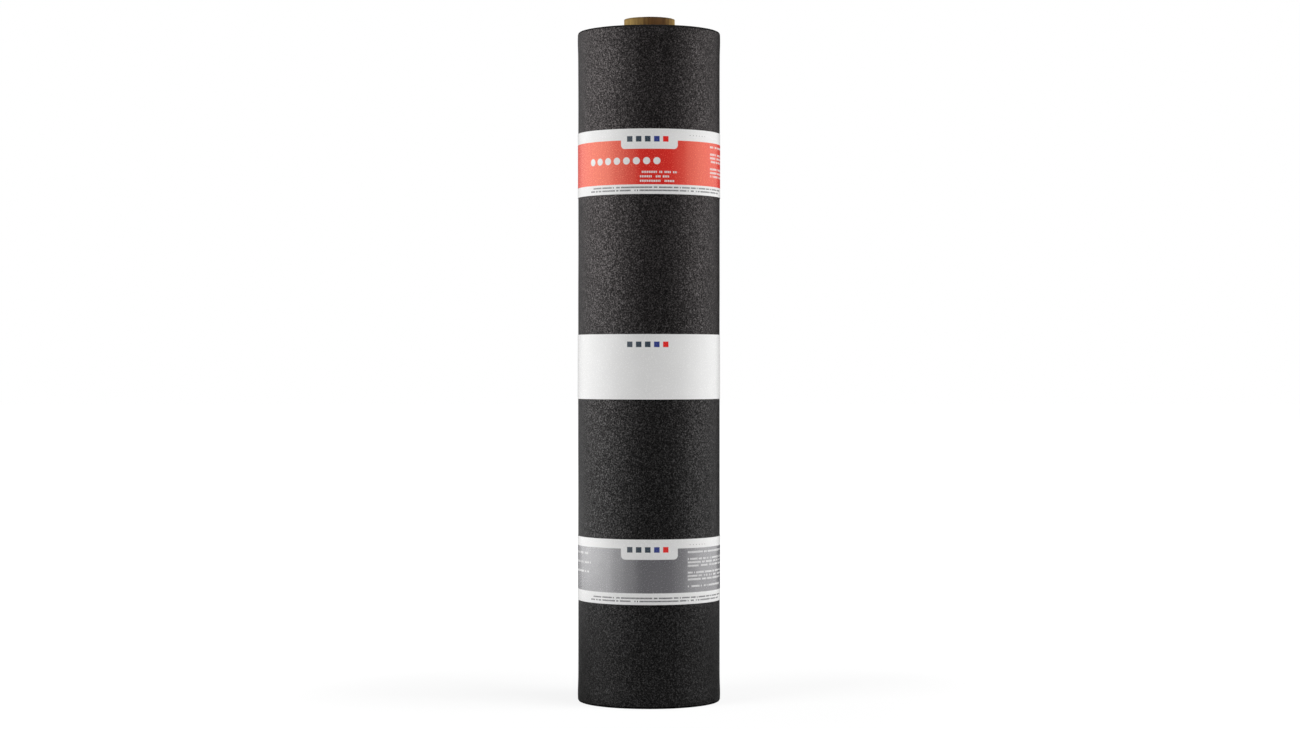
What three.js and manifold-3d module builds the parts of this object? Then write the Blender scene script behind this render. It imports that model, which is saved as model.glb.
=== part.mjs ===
// A roll of mineral-surfaced roofing felt, standing on its end.
//
// One long sheet is wound on a cardboard tube and three paper bands hold it shut.
// Lengths are millimetres and +Z is up. The origin is on the tube's axis, in the plane
// that the roll stands on. The printed side of the bands faces -Y, so the sheet's tail
// edge and the bands' glued laps are at the back, on the +Y side.

import * as THREE from "three";
import { mergeVertices } from "three/addons/utils/BufferGeometryUtils.js";
import Module from "manifold-3d";

const wasm = await Module();
wasm.setup();

// ---- Driving dimensions ----

const SHEET_WIDTH = 1000; // the height of the standing roll
const SHEET_LENGTH = 10210;
const SHEET_THICKNESS = 2.97;

const TUBE_OUTER_DIAMETER = 76;
const TUBE_WALL = 5;
const TUBE_PROJECTION = 20; // how far the tube stands out of the roll's top end
const TUBE_CLEARANCE = 0.3; // between the tube and the first turn

const TOP_EDGE_RADIUS = 3; // the rounded rim of the outermost turn
const BASE_EDGE_RADIUS = 3;
const TAIL_BLEND = 0.2; // of a turn, in which the rim rises to meet the tail edge

const GROOVE_WIDTH = 0.8; // the line that shows between one turn and the next
const GROOVE_DEPTH = 0.8;

const BAND_WIDTH = 95.5;
const BAND_THICKNESS = 0.35;
const BAND_SPACING = 300; // from the middle of one band to the middle of the next
const BAND_LAP = 36; // the glued overlap of a band's two ends
const BAND_CLEARANCE = 0.3; // between the felt and the paper
const LAP_OFFSET = 28; // round the roll, from the tail edge to the edge of the lap

// ---- The winding ----

const TURN = 2 * Math.PI;
const RAYS = 72; // facets of a full turn, the same for every piece so that they nest
const GROOVE_STEPS = RAYS / 3; // steps of a groove in each turn
const RIM_STEPS = 3; // facets of a rounded rim
const TAIL_ANGLE = TURN / 4; // the +Y side

const BORE_RADIUS = TUBE_OUTER_DIAMETER / 2 + TUBE_CLEARANCE;
const FIRST_TURN_RADIUS = BORE_RADIUS + SHEET_THICKNESS / 2; // to the sheet's middle

// The wound sheet fills the area (length x thickness) of the roll's end.
const ROLL_RADIUS = Math.hypot(FIRST_TURN_RADIUS, Math.sqrt((SHEET_LENGTH * SHEET_THICKNESS) / Math.PI));
const TURNS = (ROLL_RADIUS - FIRST_TURN_RADIUS) / SHEET_THICKNESS;
const TAIL_RADIUS = ROLL_RADIUS + SHEET_THICKNESS / 2;

// Radius of the roll's wall on the ray that lies `turned` of a turn past the tail edge.
// It loses one thickness in a full turn, which leaves the tail edge standing as a step.
function wallRadius(turned) {
  return TAIL_RADIUS - SHEET_THICKNESS * turned;
}

// Radius that the rounded rim starts from. Just before the tail it swells by one
// thickness, so the ends of the roll run smoothly under the tail edge.
function rimRadius(turned) {
  return wallRadius(turned) + SHEET_THICKNESS * THREE.MathUtils.smoothstep(turned, 1 - TAIL_BLEND, 1);
}

// How far the end surface of the roll has dropped at a radius, near a rounded rim.
function rimDrop(radius, turned, edgeRadius) {
  const past = THREE.MathUtils.clamp(radius - rimRadius(turned) + edgeRadius, 0, edgeRadius);
  return edgeRadius - Math.sqrt(edgeRadius ** 2 - past ** 2);
}

// ---- Solids ----

// Joins sections round the axis into one closed solid. sectionAt(ray) gives the section
// on a ray as [radius, height] pairs, counter-clockwise. The first and the last section
// lie on one ray, and where they differ the solid has a step there.
function loftRoundAxis(sectionAt, firstRay = 0) {
  const positions = [];
  const indices = [];
  const count = sectionAt(firstRay).length;
  for (let ray = firstRay; ray <= firstRay + RAYS; ray++) {
    const angle = TAIL_ANGLE + (TURN * ray) / RAYS;
    for (const [radius, height] of sectionAt(ray)) {
      positions.push(radius * Math.cos(angle), radius * Math.sin(angle), height);
    }
  }
  for (let step = 0; step <= RAYS; step++) {
    const here = step * count;
    const there = ((step + 1) % (RAYS + 1)) * count;
    for (let side = 0; side < count; side++) {
      const next = (side + 1) % count;
      indices.push(here + side, there + side, there + next);
      indices.push(here + side, there + next, here + next);
    }
  }
  const geometry = new THREE.BufferGeometry();
  geometry.setAttribute("position", new THREE.Float32BufferAttribute(positions, 3));
  geometry.setIndex(indices);
  return geometry;
}

// Merges what coincides and leaves out the triangles that have shrunk to a line.
function welded(geometry) {
  geometry.deleteAttribute("normal");
  geometry.deleteAttribute("uv");
  const merged = mergeVertices(geometry, 1e-4);
  const corners = merged.index.array;
  const kept = [];
  for (let i = 0; i < corners.length; i += 3) {
    const [a, b, c] = corners.slice(i, i + 3);
    if (a !== b && b !== c && c !== a) kept.push(a, b, c);
  }
  merged.setIndex(kept);
  return merged;
}

function toSolid(geometry) {
  const closed = welded(geometry);
  return new wasm.Manifold(
    new wasm.Mesh({
      numProp: 3,
      vertProperties: new Float32Array(closed.attributes.position.array),
      triVerts: new Uint32Array(closed.index.array),
    }),
  );
}

function toGeometry(solid) {
  const { vertProperties, triVerts } = solid.getMesh();
  const geometry = new THREE.BufferGeometry();
  geometry.setAttribute("position", new THREE.BufferAttribute(vertProperties, 3));
  geometry.setIndex(new THREE.BufferAttribute(triVerts, 1));
  return geometry;
}

function named(name, geometry, material) {
  geometry.computeVertexNormals();
  const mesh = new THREE.Mesh(geometry, new THREE.MeshStandardMaterial(material));
  mesh.name = name;
  return mesh;
}

// ---- The felt ----

const TOP_END = { height: SHEET_WIDTH, outward: 1, edgeRadius: TOP_EDGE_RADIUS };
const BASE_END = { height: 0, outward: -1, edgeRadius: BASE_EDGE_RADIUS };

// Section of the wound sheet on a ray: bore, base rim, wall, top rim.
function feltSection(ray) {
  const turned = ray / RAYS;
  const rim = ({ height, outward, edgeRadius }) => {
    const points = [];
    for (let step = 0; step <= RIM_STEPS; step++) {
      const angle = (TURN / 4) * (step / RIM_STEPS);
      const radius = rimRadius(turned) - edgeRadius * (1 - Math.sin(angle));
      const drop = edgeRadius * (1 - Math.cos(angle));
      points.push([Math.min(radius, wallRadius(turned)), height - outward * drop]);
    }
    return points;
  };
  return [
    [BORE_RADIUS, BASE_END.height],
    ...rim(BASE_END),
    ...rim(TOP_END).reverse(),
    [BORE_RADIUS, TOP_END.height],
  ];
}

// The spiral on an end of the roll where one turn meets the next. It starts a full turn
// after the sheet's head edge, over that edge, and runs out at the foot of the tail.
class TurnLine extends THREE.Curve {
  constructor(end) {
    super();
    this.end = end;
  }

  getPoint(t, target = new THREE.Vector3()) {
    const wound = THREE.MathUtils.lerp(1, TURNS, t);
    const radius = BORE_RADIUS + SHEET_THICKNESS * wound;
    const { height, outward, edgeRadius } = this.end;
    const turned = (TURNS - wound) % 1;
    const angle = TAIL_ANGLE + TURN * turned;
    const drop = rimDrop(radius, turned, edgeRadius);
    return target.set(radius * Math.cos(angle), radius * Math.sin(angle), height - outward * drop);
  }

  // Equal steps of angle, so that the grooves of neighbouring turns stay side by side.
  getUtoTmapping(u) {
    return u;
  }
}

// A V-shaped cutter that runs along a path on an end of the roll.
function grooveCutter(path, steps, { outward }) {
  // A sweep's first axis points down here, and its second lies across the path. The V
  // stands as far out of the end as it cuts in, so it is twice as wide at its open side.
  const section = new THREE.Shape([
    new THREE.Vector2(outward * GROOVE_DEPTH, 0),
    new THREE.Vector2(-outward * GROOVE_DEPTH, GROOVE_WIDTH),
    new THREE.Vector2(-outward * GROOVE_DEPTH, -GROOVE_WIDTH),
  ]);
  return toSolid(new THREE.ExtrudeGeometry(section, { steps, extrudePath: path }));
}

// The grooves of one end: the spiral between the turns and the sheet's head edge, a
// straight line from the bore to the spiral's start.
function endGrooves(end) {
  const spiral = new TurnLine(end);
  const start = spiral.getPoint(0);
  const reach = (BORE_RADIUS - GROOVE_DEPTH) / Math.hypot(start.x, start.y);
  const inBore = new THREE.Vector3(start.x * reach, start.y * reach, end.height);
  const spiralSteps = Math.round((TURNS - 1) * GROOVE_STEPS);
  const headEdge = new THREE.LineCurve3(inBore, start);
  return grooveCutter(spiral, spiralSteps, end).add(grooveCutter(headEdge, 1, end));
}

function feltRoll() {
  const wound = toSolid(loftRoundAxis(feltSection));
  return toGeometry(wound.subtract(endGrooves(TOP_END)).subtract(endGrooves(BASE_END)));
}

// ---- The tube ----

function coreTube() {
  const outer = TUBE_OUTER_DIAMETER / 2;
  const inner = outer - TUBE_WALL;
  const top = SHEET_WIDTH + TUBE_PROJECTION;
  const profile = [
    new THREE.Vector2(inner, 0),
    new THREE.Vector2(outer, 0),
    new THREE.Vector2(outer, top),
    new THREE.Vector2(inner, top),
    new THREE.Vector2(inner, 0),
  ];
  return new THREE.LatheGeometry(profile, RAYS).rotateX(TURN / 4);
}

// ---- The paper bands ----

// Radius of a tight wrap. It follows the wall, and runs straight from the tail edge to
// where it meets the turn below.
function wrapRadius(turned) {
  const low = TAIL_RADIUS - SHEET_THICKNESS;
  const halfSpan = Math.acos(low / TAIL_RADIUS);
  const beforeTail = TURN * (1 - turned);
  const straight = beforeTail < halfSpan ? low / Math.cos(halfSpan - beforeTail) : 0;
  return Math.max(wallRadius(turned), straight);
}

// A band of paper round the roll with its lap, centred at a height.
function paperBand(centreHeight) {
  const low = centreHeight - BAND_WIDTH / 2;
  const high = centreHeight + BAND_WIDTH / 2;
  const rayLength = (TURN * TAIL_RADIUS) / RAYS;
  const seamRay = Math.round(LAP_OFFSET / rayLength);
  const section = (ray) => {
    const inner = wrapRadius((ray % RAYS) / RAYS) + BAND_CLEARANCE;
    const pastSeam = (ray - seamRay) * rayLength;
    const lapped = THREE.MathUtils.clamp((BAND_LAP - pastSeam) / rayLength + 1, 0, 1);
    const outer = inner + BAND_THICKNESS * (1 + lapped);
    return [
      [inner, low],
      [outer, low],
      [outer, high],
      [inner, high],
    ];
  };
  return welded(loftRoundAxis(section, seamRay));
}

// ---- The roll ----

const FELT = { color: 0x2b2827, roughness: 0.95, metalness: 0 };
const CARDBOARD = { color: 0x8f6a41, roughness: 0.85, metalness: 0 };
const PAPER_FINISH = { roughness: 0.35, metalness: 0 };
const BANDS = [
  { name: "bottom_band", color: 0x6d6c70, place: -1 },
  { name: "middle_band", color: 0xe4e4e2, place: 0 },
  { name: "top_band", color: 0xc9352f, place: 1 },
];

const roll = new THREE.Group();
roll.name = "roofing_felt_roll";
roll.add(named("felt_roll", feltRoll(), FELT));
roll.add(named("core_tube", coreTube(), CARDBOARD));
for (const { name, color, place } of BANDS) {
  const height = SHEET_WIDTH / 2 + place * BAND_SPACING;
  roll.add(named(name, paperBand(height), { color, ...PAPER_FINISH }));
}

export default roll;
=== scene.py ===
"""Dresses a standing roll of roofing felt.

One long sheet, faced with fine mineral granules, is wound on a kraft board tube. Three
bands of printed paper hold it shut. Lengths are metres and +Z is up. The printed side
of the bands faces -Y, and the sheet's tail edge and the bands' laps are at the back.
"""
import logging
import math
from abc import ABC, abstractmethod
from dataclasses import dataclass, field
from enum import Enum
from typing import Sequence, Union

import bpy
import numpy as np
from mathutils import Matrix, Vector


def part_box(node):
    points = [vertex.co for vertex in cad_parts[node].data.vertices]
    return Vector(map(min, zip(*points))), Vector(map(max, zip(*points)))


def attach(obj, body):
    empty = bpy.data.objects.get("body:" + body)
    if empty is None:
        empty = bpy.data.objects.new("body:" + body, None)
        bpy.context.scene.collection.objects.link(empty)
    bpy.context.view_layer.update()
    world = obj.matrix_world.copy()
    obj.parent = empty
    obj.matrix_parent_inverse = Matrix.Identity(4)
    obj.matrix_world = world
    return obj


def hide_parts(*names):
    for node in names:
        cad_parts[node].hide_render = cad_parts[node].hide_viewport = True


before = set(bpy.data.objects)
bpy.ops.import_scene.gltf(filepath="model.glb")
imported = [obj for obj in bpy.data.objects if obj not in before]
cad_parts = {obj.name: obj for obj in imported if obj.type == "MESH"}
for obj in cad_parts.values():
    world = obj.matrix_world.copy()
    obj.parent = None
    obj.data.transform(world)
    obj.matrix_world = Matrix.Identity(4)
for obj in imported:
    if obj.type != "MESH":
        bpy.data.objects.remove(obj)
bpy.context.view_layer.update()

LOG = logging.getLogger("felt_roll")
TURN = 2.0 * math.pi
FRONT = 0.75 * TURN
BACK = 0.25 * TURN
MM = 0.001
ROUNDING = 1e-9

Socket = bpy.types.NodeSocket
Colour = tuple[float, float, float]
Number = Union["Value", float]


# ---- Numbers shared by the pieces ----


def smooth_step(value: np.ndarray, low: float, high: float) -> np.ndarray:
    """Rises smoothly from 0 at low to 1 at high.

    Args:
        value: Where to read the curve.
        low: The place where it leaves 0.
        high: The place where it reaches 1.

    Returns:
        The curve's height at each value.
    """
    part = np.clip((np.asarray(value, dtype=float) - low) / (high - low), 0.0, 1.0)
    return part * part * (3.0 - 2.0 * part)


def round_axis(radius: np.ndarray, angle: np.ndarray, height: np.ndarray) -> np.ndarray:
    """Turns radius, angle and height into points.

    Args:
        radius: Distance from the axis.
        angle: Angle round it.
        height: Height above the floor.

    Returns:
        An array of points.
    """
    radius, angle, height = np.broadcast_arrays(radius, angle, height)
    return np.stack([radius * np.cos(angle), radius * np.sin(angle), height], axis=-1)


def summed_waves(place: np.ndarray, rates: Sequence[float], draw: np.random.RandomState) -> np.ndarray:
    """Adds up sine waves that each start at a drawn place.

    Args:
        place: Where to read them, in radians of a wave with rate 1.
        rates: The rate of each wave.
        draw: Source of the drawn places.

    Returns:
        The sum at each place.
    """
    return sum(np.sin(rate * place + draw.uniform(0.0, TURN)) for rate in rates)


@dataclass(frozen=True)
class Ripple:
    """A gentle seeded unevenness over the angle round the roll and the height on it."""

    size: float
    waves: int = 7
    round_range: tuple[int, int] = (1, 6)
    height_range: tuple[float, float] = (1.0, 9.0)
    seed: int = 1

    def at(self, angle: np.ndarray, height: np.ndarray) -> np.ndarray:
        """Reads the unevenness.

        Args:
            angle: Angle round the axis, in radians.
            height: Height above the floor, in metres.

        Returns:
            The offset at each place, mostly within plus or minus size.
        """
        draw = np.random.RandomState(self.seed)
        total = np.zeros(np.broadcast(angle, height).shape)
        for _ in range(self.waves):
            lobes = draw.randint(self.round_range[0], self.round_range[1] + 1)
            pitch = draw.uniform(*self.height_range)
            phase = draw.uniform(0.0, TURN)
            total = total + np.sin(lobes * angle + pitch * TURN * height + phase)
        return self.size * total / math.sqrt(self.waves)


@dataclass(frozen=True)
class Winding:
    """The path of the sheet round the tube, counted in turns from its head edge.

    The place `turned` on the roll is the share of a turn that lies past the tail edge,
    counter-clockwise from above.

    Attributes:
        bore: Radius of the roll's bore.
        tail_radius: Radius of the roll's wall at the tail edge.
        tail_blend: Share of a turn, before the tail edge, in which the rim rises to the tail's.
        settling_turns: Turns until the climb is spread over the whole turn.
        head_step: Share of the first turns at which they start to climb over the head edge.
        flare: How far both ends flare out, most at `flare_height` from the end.
        uneven_from: Share of the tail radius past which the turns stand off.
    """

    bore: float
    thickness: float
    tail_radius: float
    tail_angle: float
    height: float
    top_rim: float = 3.0 * MM
    base_rim: float = 3.0 * MM
    tail_blend: float = 0.2
    settling_turns: float = 6.0
    head_step: float = 0.62
    flare: float = 0.7 * MM
    flare_height: float = 12.0 * MM
    flare_spread: float = 15.5 * MM
    uneven_from: float = 0.8
    ripple: Ripple = Ripple(0.10 * MM, seed=11)

    @property
    def turns(self) -> float:
        """Turns of the sheet from its head edge to its tail edge."""
        return (self.tail_radius - self.thickness - self.bore) / self.thickness

    def face(self, wound: np.ndarray) -> np.ndarray:
        """Radius of the sheet's inner face.

        The first turns lie close to the tube and climb over the head edge in one place.
        Further out the climb spreads over the whole turn.

        Args:
            wound: Turns from the head edge.

        Returns:
            The radius at each place.
        """
        whole = np.floor(wound + ROUNDING)
        part = np.clip(wound - whole, 0.0, 1.0)
        climb = smooth_step(part, self.head_step, 1.0)
        settled = np.clip(wound / self.settling_turns, 0.0, 1.0)
        return self.bore + self.thickness * (whole + climb + (part - climb) * settled)

    def wall(self, turned: np.ndarray) -> np.ndarray:
        """Radius of the roll's wall."""
        return self.tail_radius - self.thickness * np.asarray(turned)

    def near_tail(self, turned: np.ndarray) -> np.ndarray:
        """A share that rises to 1 in the last part of a turn before the tail edge."""
        return smooth_step(turned, 1.0 - self.tail_blend, 1.0)

    def wrap(self, turned: np.ndarray) -> np.ndarray:
        """Radius of something drawn tight round the wall, straight past the tail edge.

        Args:
            turned: Share of a turn past the tail edge.

        Returns:
            The radius at each place.
        """
        low = self.tail_radius - self.thickness
        span = math.acos(low / self.tail_radius)
        before = TURN * (1.0 - np.asarray(turned, dtype=float))
        straight = np.where(before < span, low / np.cos(span - before), 0.0)
        return np.maximum(self.wall(turned), straight)

    def rim_drop(self, radius: np.ndarray, turned: np.ndarray, rim: float) -> np.ndarray:
        """How far the end of the roll has dropped towards its rounded rim.

        Args:
            radius: Radius of the place.
            turned: Share of a turn past the tail edge.
            rim: Radius of the rounded rim.

        Returns:
            The drop at each place.
        """
        crest = self.wall(turned) + self.thickness * self.near_tail(turned)
        past = np.clip(radius - crest + rim, 0.0, rim)
        return rim - np.sqrt(rim**2 - past**2)

    def bulge(self, radius: np.ndarray, angle: np.ndarray, height: np.ndarray) -> np.ndarray:
        """How far the outer turns stand off the even spiral: flared ends and a ripple.

        Args:
            radius: Radius of the place on the even spiral.
            angle: Its angle round the axis.
            height: Its height above the floor.

        Returns:
            The outward offset at each place.
        """
        from_end = np.minimum(height, self.height - height)
        flare = self.flare * np.exp(-(((from_end - self.flare_height) / self.flare_spread) ** 2))
        outer = smooth_step(radius, self.uneven_from * self.tail_radius, self.tail_radius - self.thickness)
        return outer * (flare + self.ripple.at(angle, height))


# ---- Shader graphs ----


@dataclass(frozen=True)
class Ramp:
    """A smooth change between two levels: start up to the place low, end from high on."""

    low: float
    high: float
    start: float = 0.0
    end: float = 1.0


@dataclass(frozen=True)
class Grain:
    """A noise: its waves for each metre, its octaves, how strong the finer ones are.

    With a stretch, the place is first scaled by it along each axis.
    """

    waves: float
    detail: float = 2.0
    roughness: float = 0.5
    stretch: tuple[float, float, float] | None = None


class Value:
    """A number that varies over a surface, for formulas in plain arithmetic."""

    def __init__(self, graph: "Graph", socket: Socket) -> None:
        """Keeps the graph and the socket that the number comes out of."""
        self.graph = graph
        self.socket = socket

    def __add__(self, other: Number) -> "Value":
        """The sum of both."""
        return self.graph.math("ADD", self, other)

    def __sub__(self, other: Number) -> "Value":
        """This number less the other."""
        return self.graph.math("SUBTRACT", self, other)

    def __rsub__(self, other: float) -> "Value":
        """The other number less this one."""
        return self.graph.math("SUBTRACT", other, self)

    def __mul__(self, other: Number) -> "Value":
        """The product of both."""
        return self.graph.math("MULTIPLY", self, other)

    def __truediv__(self, other: Number) -> "Value":
        """This number divided by the other."""
        return self.graph.math("DIVIDE", self, other)

    def __abs__(self) -> "Value":
        """The number without its sign."""
        return self.graph.math("ABSOLUTE", self)

    def __lt__(self, other: Number) -> "Value":
        """1 where this number is the smaller, and 0 elsewhere."""
        return self.graph.math("LESS_THAN", self, other)

    def __gt__(self, other: Number) -> "Value":
        """1 where this number is the greater, and 0 elsewhere."""
        return self.graph.math("GREATER_THAN", self, other)

    def floor(self) -> "Value":
        """The number rounded down."""
        return self.graph.math("FLOOR", self)

    def fract(self) -> "Value":
        """What is left over the number rounded down."""
        return self.graph.math("FRACT", self)

    def at_least(self, least: float) -> "Value":
        """The number, or the least where it is smaller."""
        return self.graph.math("MAXIMUM", self, least)

    def ramp(self, ramp: Ramp) -> "Value":
        """The level that a ramp gives for the number.

        Args:
            ramp: The places and levels between which it changes.

        Returns:
            The level.
        """
        inputs = {"Value": self, "From Min": ramp.low, "From Max": ramp.high}
        inputs |= {"To Min": ramp.start, "To Max": ramp.end}
        return self.graph.number("MapRange", "Result", inputs, interpolation_type="SMOOTHSTEP")


class Graph:
    """Adds nodes to one shader tree by plain calls."""

    def __init__(self, name: str, world: bpy.types.NodeTree | None = None) -> None:
        """Empties a world's tree, or makes an empty material.

        Args:
            name: The material's name.
            world: The world's tree, if the graph isn't a material's.
        """
        if world is None:
            self.material = bpy.data.materials.new(name)
            self.material.use_nodes = True
        self.tree = world or self.material.node_tree
        self.tree.nodes.clear()
        self.output = self.add("OutputMaterial" if world is None else "OutputWorld")

    def put(self, into: Socket, value: Number | Socket | Sequence[float]) -> None:
        """Links a value into a socket, or writes a constant on it.

        Args:
            into: The socket that receives.
            value: A value, another socket, a number or a colour.
        """
        if isinstance(value, Value):
            value = value.socket
        if isinstance(value, bpy.types.NodeSocket):
            self.tree.links.new(value, into)
        elif isinstance(value, (int, float)):
            into.default_value = value
        else:
            into.default_value = (*value, 1.0) if len(into.default_value) == 4 else tuple(value)

    def add(self, kind: str, inputs: dict | None = None, **settings: object) -> bpy.types.Node:
        """Adds a node.

        Args:
            kind: The node's type without its ShaderNode prefix.
            inputs: Values or links by socket name or number.
            **settings: The node's own properties.

        Returns:
            The new node.
        """
        node = self.tree.nodes.new("ShaderNode" + kind)
        for name, value in settings.items():
            setattr(node, name, value)
        for name, value in (inputs or {}).items():
            self.put(node.inputs[name], value)
        return node

    def number(self, kind: str, output: str | int, inputs: dict, **settings: object) -> Value:
        """Adds a node and takes a number from it.

        Args:
            kind: The node's type without its ShaderNode prefix.
            output: The name or number of the output to take.
            inputs: Values or links by socket name or number.
            **settings: The node's own properties.

        Returns:
            The number.
        """
        return Value(self, self.add(kind, inputs, **settings).outputs[output])

    def math(self, operation: str, *values: Number) -> Value:
        """Adds a math node of some operation on its inputs in order."""
        return self.number("Math", 0, dict(enumerate(values)), operation=operation)

    def vector(self, operation: str, *values: Socket | Colour) -> bpy.types.Node:
        """Adds a vector math node of some operation on its inputs in order."""
        return self.add("VectorMath", dict(enumerate(values)), operation=operation)

    def distance(self, across: Value, up: Value) -> Value:
        """The straight distance that two distances at right angles make."""
        return self.math("SQRT", across * across + up * up)

    def blend(self, share: Value, first: Socket | Colour, second: Socket | Colour) -> Socket:
        """Mixes two colours.

        Args:
            share: How much of the second colour shows.
            first: The colour at 0.
            second: The colour at 1.

        Returns:
            The mixed colour.
        """
        node = self.add("Mix", {"Factor": share, 6: first, 7: second}, data_type="RGBA")
        return node.outputs[2]

    def scaled(self, colour: Socket, *tones: Value) -> Socket:
        """Multiplies a colour by numbers.

        Args:
            colour: The colour.
            *tones: The numbers, one after the other.

        Returns:
            The new colour.
        """
        for tone in tones:
            colour = self.add("VectorMath", {0: colour, "Scale": tone}, operation="SCALE").outputs[0]
        return colour

    def noise(self, where: Socket, grain: Grain) -> Value:
        """Adds a noise between 0 and 1.

        Args:
            where: The place.
            grain: The noise's scale and detail.

        Returns:
            The noise.
        """
        if grain.stretch is not None:
            where = self.vector("MULTIPLY", where, grain.stretch).outputs[0]
        inputs = {"Vector": where, "Scale": grain.waves, "Detail": grain.detail, "Roughness": grain.roughness}
        return self.number("TexNoise", "Fac", inputs)

    def chance(self, *cell: Number) -> Value:
        """A random number between 0 and 1 for each cell, given by three numbers."""
        return self.number("TexWhiteNoise", "Value", {"Vector": self.join(*cell)}, noise_dimensions="3D")

    def place(self) -> Socket:
        """The place on the object in metres."""
        return self.add("TexCoord").outputs["Object"]

    def mapped(self, name: str) -> tuple[Value, Value]:
        """The two numbers of one of the mesh's maps."""
        return self.split(self.add("UVMap", uv_map=name).outputs[0])[:2]

    def split(self, vector: Socket) -> tuple[Value, Value, Value]:
        """Splits a vector into its three numbers."""
        return tuple(Value(self, part) for part in self.add("SeparateXYZ", {"Vector": vector}).outputs)

    def join(self, x: Number, y: Number, z: Number) -> Socket:
        """Makes a vector of three numbers."""
        return self.add("CombineXYZ", {"X": x, "Y": y, "Z": z}).outputs[0]

    def bump(self, height: Value, distance: float, strength: float = 1.0,
             under: Socket | None = None) -> Socket:
        """Turns a height into a normal.

        Args:
            height: The height, as a share of the distance.
            distance: What a height of 1 stands for, in metres.
            strength: How much of the bump is used.
            under: A normal that this one lies on.

        Returns:
            The normal.
        """
        node = self.add("Bump", {"Height": height, "Distance": distance, "Strength": strength})
        if under is not None:
            self.put(node.inputs["Normal"], under)
        return node.outputs[0]

    def end(self, shader: bpy.types.Node) -> None:
        """Ends the graph in a shader."""
        self.put(self.output.inputs["Surface"], shader.outputs[0])

    def surface(self, inputs: dict) -> bpy.types.Material:
        """Ends the graph in one principled shader.

        Args:
            inputs: The shader's values or links by socket name.

        Returns:
            The finished material.
        """
        self.end(self.add("BsdfPrincipled", inputs))
        return self.material


# ---- Finishes ----


@dataclass(frozen=True)
class GranuleFinish:
    """Mineral granules pressed into bitumen, each a small dark facet with its own shine.

    A facet mirrors a small share of the light, about as much face on as at a slant. So most of
    the finish is that of a very dark metal with a dimmed edge, and the rest is dull. Its upper
    half is painted brighter and warmer: painted light, with the lower half in painted shade.

    Attributes:
        size: Width of a granule.
        clumps: Noise of the small dark spots between granules.
        patches: Noise of the large, faint differences.
        upper_share: How far a place counts as upper, by its share of the height, for the painted light and
            shade.
        mirrored: Share of the finish that is metal.
        edge: How much a facet keeps of its shine at a slant.
        tilt: How far the facets lean.
    """

    roll_height: float
    size: float = 1.4 * MM
    clumps: Grain = Grain(1.0 / (2.0 * MM), detail=2.0, roughness=0.6)
    patches: Grain = Grain(1.0 / (70.0 * MM), detail=3.0)
    upper_share: Ramp = Ramp(0.25, 0.75)
    # Painted light: the upper half gets a warmer tone and more shine, and the lower half stays in painted
    # shade.
    low_tone: Colour = (1.02, 1.00, 1.00)
    painted_warm_tone: Colour = (1.09, 1.00, 1.00)
    shine: float = 0.080
    painted_upper_light: float = 0.034
    granule_shine: Ramp = Ramp(0.30, 1.0, 0.48, 1.30)
    clump_shine: Ramp = Ramp(0.42, 0.62, 0.34, 1.15)
    patch_shine: Ramp = Ramp(0.25, 0.75, 0.95, 1.05)
    mirrored: float = 0.88
    edge: Colour = (0.64, 0.64, 0.64)
    roughness: Ramp = Ramp(0.0, 1.0, 0.30, 0.37)
    tilt: float = 0.05

    def facets(self, g: Graph, where: Socket, cells: bpy.types.Node) -> Socket:
        """Gives each granule a flat face that leans its own way.

        Args:
            g: The graph.
            where: The place on the roll.
            cells: The granules' cells.

        Returns:
            The normal.
        """
        from_middle = g.vector("SUBTRACT", where, cells.outputs["Position"])
        lean = g.vector("SUBTRACT", cells.outputs["Color"], (0.5, 0.5, 0.5))
        slope = g.vector("DOT_PRODUCT", from_middle.outputs[0], lean.outputs[0])
        return g.bump(Value(g, slope.outputs["Value"]) * (2.0 * self.tilt), 1.0)

    def material(self) -> bpy.types.Material:
        """Builds the finish.

        Returns:
            The material.
        """
        g = Graph("granule_facing")
        where = g.place()
        cells = g.add("TexVoronoi", {"Vector": where, "Scale": 1.0 / self.size, "Randomness": 1.0})
        _, pick_b, pick_c = g.split(cells.outputs["Color"])
        # Painted light and shade by height: brighter and warmer above, darker below.
        upper = (g.split(where)[2] / self.roll_height).ramp(self.upper_share)
        shine = upper * self.painted_upper_light + self.shine
        shine = shine * pick_c.ramp(self.granule_shine)
        shine = shine * g.noise(where, self.clumps).ramp(self.clump_shine)
        shine = shine * g.noise(where, self.patches).ramp(self.patch_shine)
        return g.surface({
            "Base Color": g.scaled(g.blend(upper, self.low_tone, self.painted_warm_tone), shine),
            "Metallic": self.mirrored,
            "Roughness": pick_b.ramp(self.roughness),
            "Normal": self.facets(g, where, cells),
            "Specular IOR Level": 0.0,
            "Specular Tint": self.edge,
        })


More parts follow.
